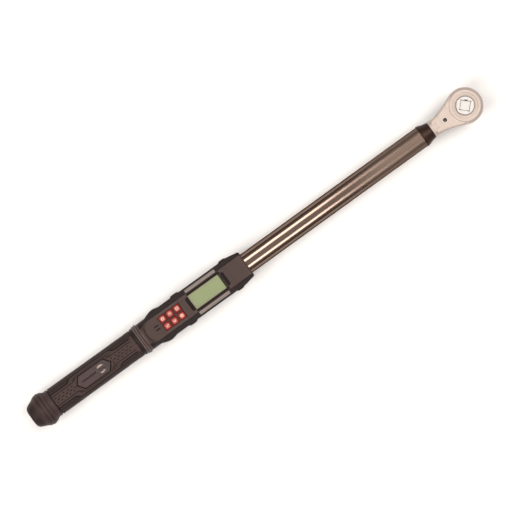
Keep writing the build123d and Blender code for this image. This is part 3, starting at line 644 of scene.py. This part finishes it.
gripLow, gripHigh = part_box("grip")
badgeLow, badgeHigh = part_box("grip_badge")
gripPlan = {
    # all in mm unless noted
    "rearRadius": 18.7, "frontRadius": 18.3, "innerRadius": 15.5, "edge": 0.9,
    "spacing": 0.4, "around": 304,        # between mesh rings; points in each ring
    "unrollRadius": 18.5,                 # the pattern is drawn unrolled from a cylinder of this radius
    # outlines: distance from the rear end, and distance round from the middle of the top
    "band": [(0, 10.7), (24.6, 10.7), (27.1, 11.8), (30.1, 15.4), (32.6, 16.0), (89.0, 16.0), (92.0, 15.2),
             (95.6, 11.6), (98.1, 10.7), (120.4, 10.7)],
    "line": [(0, 6.9), (32.1, 6.9), (38.6, 12.0), (80.9, 12.0), (87.4, 6.7), (120.4, 6.7)],
    "bandGroove": (1.2, 0.85),            # depth and half width of the groove round the side panels
    "lineGroove": (0.7, 0.5),             # the fine line inside it
    "outline": (1.2, 0.75),               # the moat round the badge
    "grooveWalls": (0.45, 1.5),           # where a groove's wall starts and ends, in half widths
    "badgeHalf": 9.15, "badgeTip": 6.5,   # half width of the badge and length of its pointed ends
    "outlineGap": 0.55, "seatGap": 0.1, "dimpleGap": 1.6,  # from the badge to the moat, seat wall and dimples
    # moulded eyelets: place along, place round, slant in radians; then half length and half width
    "eyelets": [(35.6, 9.9, 0.63), (87.5, 9.6, -0.65)],
    "eyeletHalf": (2.5, 1.25), "eyeletDepth": 0.4, "eyeletWalls": (0.15, 0.55),
    "ribPitch": 2.0, "ribDepth": 0.5,     # finger ribs on the side panels
    "ribSharpness": 1.5, "ribStart": (1.1, 1.9), "ribRun": (1.2, 2.2, 117.0, 119.0),
    "dimpleRows": 6.25, "dimpleSide": 3.2, "dimpleRadius": 1.3, "dimpleDepth": 1.0, "dimpleFlat": 0.25,
    "dimpleRun": (1.5, 117.5), "dimpleFirst": (3.4, 2.2),  # first rows: from the rear end, from the badge's tip
    "recess": 1.6, "recessWall": (-0.15, 0.25),  # how far the badge seat goes in, and its wall
    "shadeDepth": 0.8, "ribShade": 0.5,   # depth shaded fully; shade of the side panels, from 0 to 1
}


def badgeOutline(margin):
    rear = (badgeLow.x - gripLow.x) / mm - margin
    front = (badgeHigh.x - gripLow.x) / mm + margin
    half, tip = gripPlan["badgeHalf"] + margin, gripPlan["badgeTip"]
    return [(rear, 0), (rear + tip, half), (front - tip, half), (front, 0)]


def gripRadii(xs, around):
    plan = gripPlan
    length = (gripHigh.x - gripLow.x) / mm
    angles = np.linspace(0, 2 * math.pi, around, endpoint=False)
    angles = np.where(angles > math.pi, 2 * math.pi - angles, angles)
    base = plan["rearRadius"] + (plan["frontRadius"] - plan["rearRadius"]) * xs / length
    along, angle = np.meshgrid(xs, angles, indexing="ij")
    arc = angle * plan["unrollRadius"]
    quarter = plan["unrollRadius"] * math.pi / 2
    onTop = arc < quarter
    folded = np.where(onTop, arc, 2 * quarter - arc)   # the underside repeats the top
    depth = np.zeros_like(along)

    wallStart, wallEnd = plan["grooveWalls"]
    for path, (deep, half) in ((plan["band"], plan["bandGroove"]), (plan["line"], plan["lineGroove"]),
                               (badgeOutline(plan["outlineGap"]), plan["outline"])):
        wall = fade(distanceTo(path, along, folded), half * wallStart, half * wallEnd)
        depth = np.maximum(depth, deep * (1 - wall))
    halfLength, halfWidth = plan["eyeletHalf"]
    for x, y, slant in plan["eyelets"]:
        u = (along - x) * math.cos(slant) + (folded - y) * math.sin(slant)
        v = -(along - x) * math.sin(slant) + (folded - y) * math.cos(slant)
        oval = np.abs(np.hypot(u / halfLength, v / halfWidth) - 1)
        depth = np.maximum(depth, plan["eyeletDepth"] * (1 - fade(oval, *plan["eyeletWalls"])))

    # ribs on the side panels, outside the broad groove
    bandX, bandY = np.array(plan["band"]).T
    outside = fade(folded - np.interp(along, bandX, bandY), *plan["ribStart"])
    ends = fade(along, *plan["ribRun"][:2]) * (1 - fade(along, *plan["ribRun"][2:]))
    wave = 0.5 - 0.5 * np.cos(2 * math.pi * along / plan["ribPitch"])
    depth = np.maximum(depth, plan["ribDepth"] * outside * ends * wave ** plan["ribSharpness"])

    # dimples between the fine lines, in alternate pairs and singles
    clear = badgeOutline(plan["dimpleGap"])
    rearTip, frontTip = clear[0][0], clear[-1][0]
    runStart, runEnd = plan["dimpleRun"]
    firstRear, firstFront = plan["dimpleFirst"]
    pitch = plan["dimpleRows"]
    for zone, first in (((runStart, rearTip), firstRear), ((frontTip, runEnd), frontTip + firstFront)):
        inZone = (along > zone[0]) & (along < zone[1])
        pairX = (along - first + pitch / 2) % pitch - pitch / 2
        singleX = (along - first) % pitch - pitch / 2
        pair = np.hypot(pairX, folded - plan["dimpleSide"])
        single = np.hypot(singleX, folded)
        spot = np.minimum(pair, single)
        dimple = plan["dimpleDepth"] * (1 - fade(spot, plan["dimpleFlat"], plan["dimpleRadius"]))
        depth = np.maximum(depth, np.where(inZone, dimple, 0))

    # seat for the badge, on the display side only
    outlineX, outlineY = np.array(badgeOutline(plan["seatGap"])).T
    within = np.interp(along, outlineX, outlineY, left=0, right=0) - folded
    depth = np.where(onTop, np.maximum(depth, plan["recess"] * fade(within, *plan["recessWall"])), depth)

    edge = plan["edge"]
    ends = np.minimum(xs, length - xs)
    chamfer = edge * (1 - np.sqrt(np.clip(1 - (1 - np.clip(ends / edge, 0, 1)) ** 2, 0, 1)))
    # painted shade: darker with depth in grooves, dimples and the badge seat, and over the ribbed side panels
    shade = np.clip(np.maximum(depth / plan["shadeDepth"], plan["ribShade"] * outside), 0, 1)
    return (base - chamfer)[:, None] - depth, shade


def makeGrip():
    # natural-rubber sleeve with a moulded pattern
    length = (gripHigh.x - gripLow.x) / mm
    xs = np.linspace(0, length, int(length / gripPlan["spacing"]))
    outside, groove = gripRadii(xs, gripPlan["around"])
    inside = np.full((2, gripPlan["around"]), gripPlan["innerRadius"])
    places = np.concatenate([xs, [length, 0]])
    skin = ringSkin("sleeveGrip", gripLow.x + places * mm, np.vstack([outside, inside]) * mm,
                    np.vstack([groove, 0 * inside]))
    placePiece("sleeveGrip", skin, "grip_rubber", "wrench", "grip")


makeGrip()
print("grip")

collarPlan = {
    # millimetres from the rear face, and radius; then ridges and grooves as (place, height, half width)
    "line": [(0.0, 17.9), (0.5, 18.5), (2.6, 19.0), (4.2, 19.3), (6.0, 19.6), (8.6, 19.9), (10.2, 19.6),
             (11.6, 19.0), (12.6, 18.6)],
    "rings": [(3.9, -0.6, 0.6), (5.5, 0.75, 0.55), (7.1, -0.35, 0.4), (8.7, 1.0, 0.7), (10.3, -0.6, 0.5)],
    "innerRadius": 13.8, "around": 180, "spacing": 0.12,
    "rearShade": 0.9, "rearRun": (3.6, 4.8),  # painted shade on the part next to the grip, ending over this run
}


def makeGripCollar():
    # turned-looking nylon ring between grip and tube
    line, groove = withRings(smoothLine(collarPlan["line"], collarPlan["spacing"]), collarPlan["rings"])
    groove = np.maximum(groove, collarPlan["rearShade"] * (1 - fade(line[:, 0], *collarPlan["rearRun"])))
    front, inner = collarPlan["line"][-1][0], collarPlan["innerRadius"]
    line = np.vstack([line, [(front, inner), (0.0, inner)]])
    radii = np.repeat(line[:, 1:2], collarPlan["around"], 1)
    groove = np.repeat(np.concatenate([groove, [0, 0]])[:, None], collarPlan["around"], 1)
    skin = ringSkin("ridgedCollar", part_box("grip_collar")[0].x + line[:, 0] * mm, radii * mm, groove)
    placePiece("ridgedCollar", skin, "collar_nylon", "wrench", "grip_collar")


makeGripCollar()

capPlan = {
    # millimetres forward from the closed end, and radius
    "line": [(0.0, 0.0), (0.0, 5.0), (0.1, 9.2), (0.8, 12.2), (2.4, 14.4), (6.3, 16.6), (11.3, 18.9),
             (15.5, 21.2), (20.0, 22.35), (24.9, 21.4), (28.3, 19.6), (31.6, 18.3), (32.9, 18.6), (34.2, 18.7),
             (35.0, 18.0)],
    "rings": [(11.2, -0.3, 0.5), (18.2, -0.3, 0.9), (23.4, -0.4, 0.8), (28.6, -0.25, 0.6)],
    "bore": [(35.0, 15.15), (20.4, 15.15), (20.4, 9.5), (8.3, 9.5), (8.3, 8.9), (7.7, 8.9), (7.7, 9.5),
             (6.1, 9.5), (6.1, 0.0)],
    "around": 240, "spacing": 0.3,
    "slot": (12.0, 1.8, 1.4),  # coin slot: length, width, depth
    "domeShade": 0.5, "domeRun": (9.4, 10.6),  # the closed end is a darker moulding, ending over this run
}


def makeEndCap():
    # domed battery cap with its coin slot cut in
    line, groove = withRings(smoothLine(capPlan["line"][2:], capPlan["spacing"]), capPlan["rings"])
    # painted shade in the cap's grooves; the closed end is a darker moulding
    groove = np.maximum(groove, capPlan["domeShade"] * (1 - fade(line[:, 0], *capPlan["domeRun"])))
    line = np.vstack([capPlan["line"][:2], line, capPlan["bore"]])
    radii = np.repeat(line[:, 1:2], capPlan["around"], 1)
    groove = np.concatenate([[capPlan["domeShade"]] * 2, groove, np.zeros(len(capPlan["bore"]))])
    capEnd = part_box("end_cap")[0].x
    skin = ringSkin("domedCap", capEnd + line[:, 0] * mm, radii * mm,
                    np.repeat(groove[:, None], capPlan["around"], 1))
    cap = placePiece("domedCap", skin, "cap_plastic", "battery_cap", "end_cap")
    length, width, depth = (v * mm for v in capPlan["slot"])
    cutter = bmesh.new()
    bmesh.ops.create_cube(cutter, size=1.0)
    bmesh.ops.scale(cutter, verts=cutter.verts, vec=(2 * depth, length, width))
    bmesh.ops.translate(cutter, verts=cutter.verts, vec=(capEnd, 0, axisZ))
    mesh = bpy.data.meshes.new("coinSlot")
    cutter.to_mesh(mesh)
    cutter.free()
    tool = bpy.data.objects.new("coinSlot", mesh)
    bpy.context.scene.collection.objects.link(tool)
    cut = cap.modifiers.new("slot", "BOOLEAN")
    cut.object = tool
    cut.solver = "EXACT"
    bpy.context.view_layer.update()
    done = bpy.data.meshes.new_from_object(cap.evaluated_get(bpy.context.evaluated_depsgraph_get()))
    cap.modifiers.clear()
    cap.data = done
    bpy.data.objects.remove(tool)


makeEndCap()
print("collar and cap")

badgePlan = {
    "radius": 18.25, "underRadius": 16.9, "unrollRadius": 18.5,  # mm
    "spacing": 0.3, "across": 60, "endGap": 0.05,
    "rim": 0.3, "rimWidth": 0.9, "rimWall": 0.5, "edgeRound": 0.5,
    "tipSlope": 0.8, "cornerSlope": 0.82,  # turn distances along and across into distances from the edges
    "bar": (7.0, 28.5, 1.25, 0.4),         # plain inlaid bar: start, end, half width, depth
    "barWall": 0.2, "barEnds": 0.4,
    "tickPitch": 2.4, "tickShare": 0.45,   # ticks across the bar, and their share of its depth
    "barShade": 0.55, "tickShade": 0.35,
}
emblemPlan = {"fromFront": 14.0, "radius": 5.9, "domeRadius": 14.0, "endCrown": 0.12, "rise": 0.75,
              "skirt": 3.2, "rings": 14, "around": 64}


def badgeSkin(along, angle, radius):
    return np.stack([gripLow.x + along * mm, radius * np.sin(angle), axisZ + radius * np.cos(angle)], 2)


def makeBadge():
    # pointed plate with a raised rim and a ticked bar, curved to the grip
    outlineX, outlineY = np.array(badgeOutline(0.0)).T
    rows, across = int((outlineX[-1] - outlineX[0]) / badgePlan["spacing"]), badgePlan["across"]
    xs = np.linspace(outlineX[0] + badgePlan["endGap"], outlineX[-1] - badgePlan["endGap"], rows)
    halves = np.interp(xs, outlineX, outlineY)
    along = np.repeat(xs[:, None], across, 1)
    arc = halves[:, None] * np.linspace(-1, 1, across)
    tips = np.minimum(along - outlineX[0], outlineX[-1] - along) * badgePlan["tipSlope"]
    inset = np.minimum(halves[:, None] - np.abs(arc), tips) * badgePlan["cornerSlope"]
    rimEnd, edgeRound = badgePlan["rimWidth"], badgePlan["edgeRound"]
    height = badgePlan["rim"] * (1 - fade(inset, rimEnd, rimEnd + badgePlan["rimWall"]))
    height -= edgeRound * (1 - fade(inset, 0.0, edgeRound))
    start, end, half, deep = badgePlan["bar"]
    start, end = start + outlineX[0], end + outlineX[0]
    wall, ends = badgePlan["barWall"], badgePlan["barEnds"]
    inBar = (1 - fade(np.abs(arc), half - wall, half + wall)) * fade(along, start, start + ends)
    inBar *= 1 - fade(along, end - ends, end)
    ticks = 0.5 - 0.5 * np.cos(2 * math.pi * (along - start) / badgePlan["tickPitch"])
    share = badgePlan["tickShare"]
    height -= inBar * (deep * (1 - share) + deep * share * ticks)
    radius = (badgePlan["radius"] + height) * mm
    angle = arc / badgePlan["unrollRadius"]
    top = badgeSkin(along, angle, radius)
    under = badgeSkin(along, angle, np.full_like(radius, badgePlan["underRadius"] * mm))
    points = np.concatenate([top.reshape(-1, 3), under.reshape(-1, 3)])
    layer = rows * across
    faces = []
    for r in range(rows - 1):
        for c in range(across - 1):
            a = r * across + c
            faces.append((a, a + across, a + across + 1, a + 1))
            faces.append((layer + a, layer + a + 1, layer + a + across + 1, layer + a + across))
    rim = list(range(across)) + [r * across + across - 1 for r in range(1, rows)]
    rim += [(rows - 1) * across + c for c in range(across - 2, -1, -1)]
    rim += [r * across for r in range(rows - 2, 0, -1)]
    for a, b in zip(rim, rim[1:] + rim[:1]):
        faces.append((a, b, layer + b, layer + a))
    # painted shade in the sunk bar, darker still in its ticks
    shade = inBar * (badgePlan["barShade"] + badgePlan["tickShade"] * ticks)
    plate = closedMesh("badgePlate", points.tolist(), faces, np.concatenate([shade.ravel(), np.zeros(layer)]))
    placePiece("badgePlate", plate, "badge_plastic", "wrench", "grip_badge")


def makeEmblem():
    # round dome on the badge; its crown falls away lengthways by endCrown
    centreX = badgeHigh.x - emblemPlan["fromFront"] * mm
    dome = emblemPlan["domeRadius"] * mm
    radius = emblemPlan["radius"] * mm
    top = axisZ + badgePlan["radius"] * mm + emblemPlan["rise"] * mm
    bottom = top - emblemPlan["skirt"] * mm
    rings, around = emblemPlan["rings"], emblemPlan["around"]
    turns = [2 * math.pi * i / around for i in range(around)]
    points = [(centreX, 0, top)]
    for ring in range(1, rings + 1):
        r = radius * ring / rings
        for angle in turns:
            x, y = r * math.cos(angle), r * math.sin(angle)
            crown = math.sqrt(dome * dome - y * y) - dome - emblemPlan["endCrown"] * (x / radius) ** 2 * mm
            points.append((centreX + x, y, top + crown))
    points += [(centreX + radius * math.cos(angle), radius * math.sin(angle), bottom) for angle in turns]
    points.append((centreX, 0, bottom))
    faces = []
    for i in range(around):
        j = (i + 1) % around
        faces.append((0, 1 + i, 1 + j))
        for ring in range(rings):
            a = 1 + ring * around
            faces.append((a + i, a + around + i, a + around + j, a + j))
        a = 1 + rings * around
        faces.append((a + i, len(points) - 1, a + j))
    mesh = bpy.data.meshes.new("domedEmblem")
    mesh.from_pydata(points, [], faces)
    mesh.shade_smooth()
    placePiece("domedEmblem", mesh, "emblem", "wrench")


# vacuum-metallised dome: dark and glossy, it takes the lights as two bright crescents
looks["emblem"] = machinedSurface("metallisedDome", {
    "dark": "#4E4543", "light": "#5A504E", "rough": (0.2, 0.28), "lay": "even", "markMm": 0.5, "cloudMm": 2.0,
    "reliefMm": 0.002})
makeBadge()
makeEmblem()
print("badge")


# stroke radius, half size and depth in the key, mm
symbolPlan = {"line": 0.4, "size": 2.1, "sink": 0.1, "roundness": 2}


def arcPoints(radius, start, end, count=14):
    return [(radius * math.cos(math.radians(start + (end - start) * i / count)),
             radius * math.sin(math.radians(start + (end - start) * i / count))) for i in range(count + 1)]


symbols = {
    "power": [arcPoints(0.85, 125, 415), [(0, 0.15), (0, 1.1)]],
    "up": [[(-0.8, -0.35), (0, 0.65), (0.8, -0.35)]],
    "menu": [[(-0.8, -0.8), (0.8, -0.8), (0.8, 0.8), (-0.8, 0.8), (-0.8, -0.8)], [(-0.3, 0.1), (0.3, 0.1)]],
    "enter": [[(-0.85, 0.0), (-0.25, -0.6), (0.85, 0.65)]],
    "down": [[(-0.8, 0.35), (0, -0.65), (0.8, 0.35)]],
    "units": [arcPoints(0.8, 0, 360), [(-0.5, -0.5), (0.5, 0.5)]],
}


def makeSymbol(name, strokes):
    low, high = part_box("key_" + name)
    centre = ((low.x + high.x) / 2, (low.y + high.y) / 2)
    curve = bpy.data.curves.new("symbol_" + name, "CURVE")
    curve.dimensions = "3D"
    curve.bevel_depth = symbolPlan["line"] * mm
    curve.bevel_resolution = symbolPlan["roundness"]
    curve.use_fill_caps = True
    size = symbolPlan["size"] * mm
    for stroke in strokes:
        spline = curve.splines.new("POLY")
        spline.points.add(len(stroke) - 1)
        for point, (u, v) in zip(spline.points, stroke):
            point.co = (centre[0] + u * size, centre[1] + v * size, high.z - symbolPlan["sink"] * mm, 1)
    placePiece("symbol_" + name, curve, "symbol", name + "_button")


# pad-printed epoxy ink: pale pink-white, slightly raised and satin
looks["symbol"] = mouldedSurface("padPrintedInk", {
    "dark": keyLook["symbol"], "light": "#C4AEA0", "rough": (0.35, 0.5), "cloudMm": 1.0, "grainMm": 0.2,
    "reliefMm": 0.005})
for name, strokes in symbols.items():
    makeSymbol(name, strokes)
print("key symbols")

studio = {
    "floorDrop": 0.3, "floorHalf": 6.0,  # mm below the drive square; half size in metres
    "lightColour": "#FFFAF6", "sky": "#F7EFE9", "skyAbove": 0.85, "skyBeside": 0.08,
    # lean, tilt from straight up in degrees, place along the tool, distance, width, length (m), power (W)
    "boxes": {"stripLeft": ("across", 34.0, -0.44, 1.0, 0.36, 0.54, 4.7),
              "stripRight": ("across", -40.0, -0.44, 1.0, 0.36, 0.54, 4.7),
              "softboxHead": ("along", 40.0, -0.32, 2.2, 1.4, 1.0, 34.0),
              "softboxHandle": ("along", -40.0, -0.32, 2.2, 1.4, 1.0, 34.0)},
}


def makeFloor():
    half = studio["floorHalf"]
    z = boxAtLoad[0].z - studio["floorDrop"] * mm
    mesh = bpy.data.meshes.new("floor")
    corners = [(-half, -half, z), (half, -half, z), (half, half, z), (-half, half, z)]
    mesh.from_pydata(corners, [], [(0, 1, 2, 3)])
    # matt white laminate: even, with the faintest mottling
    mesh.materials.append(mouldedSurface("mattWhiteLaminate", {
        "dark": "#CFCFCF", "light": "#D4D4D4", "rough": (0.7, 0.8), "cloudMm": 80.0, "grainMm": 2.0,
        "reliefMm": 0.0, "shader": {"Specular IOR Level": 0.1}}))
    floor = bpy.data.objects.new("floor", mesh)
    bpy.context.scene.collection.objects.link(floor)


def makeSoftbox(name, lean, tilt, place, distance, width, length, power):
    light = bpy.data.lights.new(name, "AREA")
    light.shape = "RECTANGLE"
    light.size = length if lean == "across" else width
    light.size_y = width if lean == "across" else length
    light.energy = power
    light.color = hexToLinear(studio["lightColour"])[:3]
    box = bpy.data.objects.new(name, light)
    angle = math.radians(tilt)
    sideways = Vector((0, 1, 0)) if lean == "across" else Vector((1, 0, 0))
    away = math.sin(angle) * sideways + math.cos(angle) * Vector((0, 0, 1))
    box.location = Vector((place, 0, axisZ)) + distance * away
    box.rotation_euler = (-angle, 0, 0) if lean == "across" else (0, angle, 0)
    bpy.context.scene.collection.objects.link(box)


makeFloor()
for name, plan in studio["boxes"].items():
    makeSoftbox(name, *plan)

world = bpy.data.worlds.new("studioRoom")
bpy.context.scene.world = world
world.use_nodes = True
room = world.node_tree
way = addNode(room, "ShaderNodeTexCoord")
split = addNode(room, "ShaderNodeSeparateXYZ", None, {"Vector": way.outputs["Generated"]})
lift = addNode(room, "ShaderNodeMapRange", {"To Min": studio["skyBeside"], "To Max": studio["skyAbove"]},
               {"Value": split.outputs["Z"]})
background = room.nodes["Background"]
background.inputs["Color"].default_value = hexToLinear(studio["sky"])
room.links.new(lift.outputs["Result"], background.inputs["Strength"])
bpy.context.scene.view_settings.view_transform = "Standard"

# long lens, straight down: millimetres, then metres, then degrees
cameraPlan = {"lens": 300.0, "sensor": 36.0, "x": -0.32204, "y": 0.00062, "height": 5.346, "turn": -35.863}
cameraData = bpy.data.cameras.new("camera")
cameraData.lens = cameraPlan["lens"]
cameraData.sensor_width = cameraPlan["sensor"]
camera = bpy.data.objects.new("camera", cameraData)
camera.location = (cameraPlan["x"], cameraPlan["y"], axisZ + cameraPlan["height"])
camera.rotation_euler = (0, 0, math.radians(cameraPlan["turn"]))
bpy.context.scene.collection.objects.link(camera)
bpy.context.scene.camera = camera

print("studio and camera")
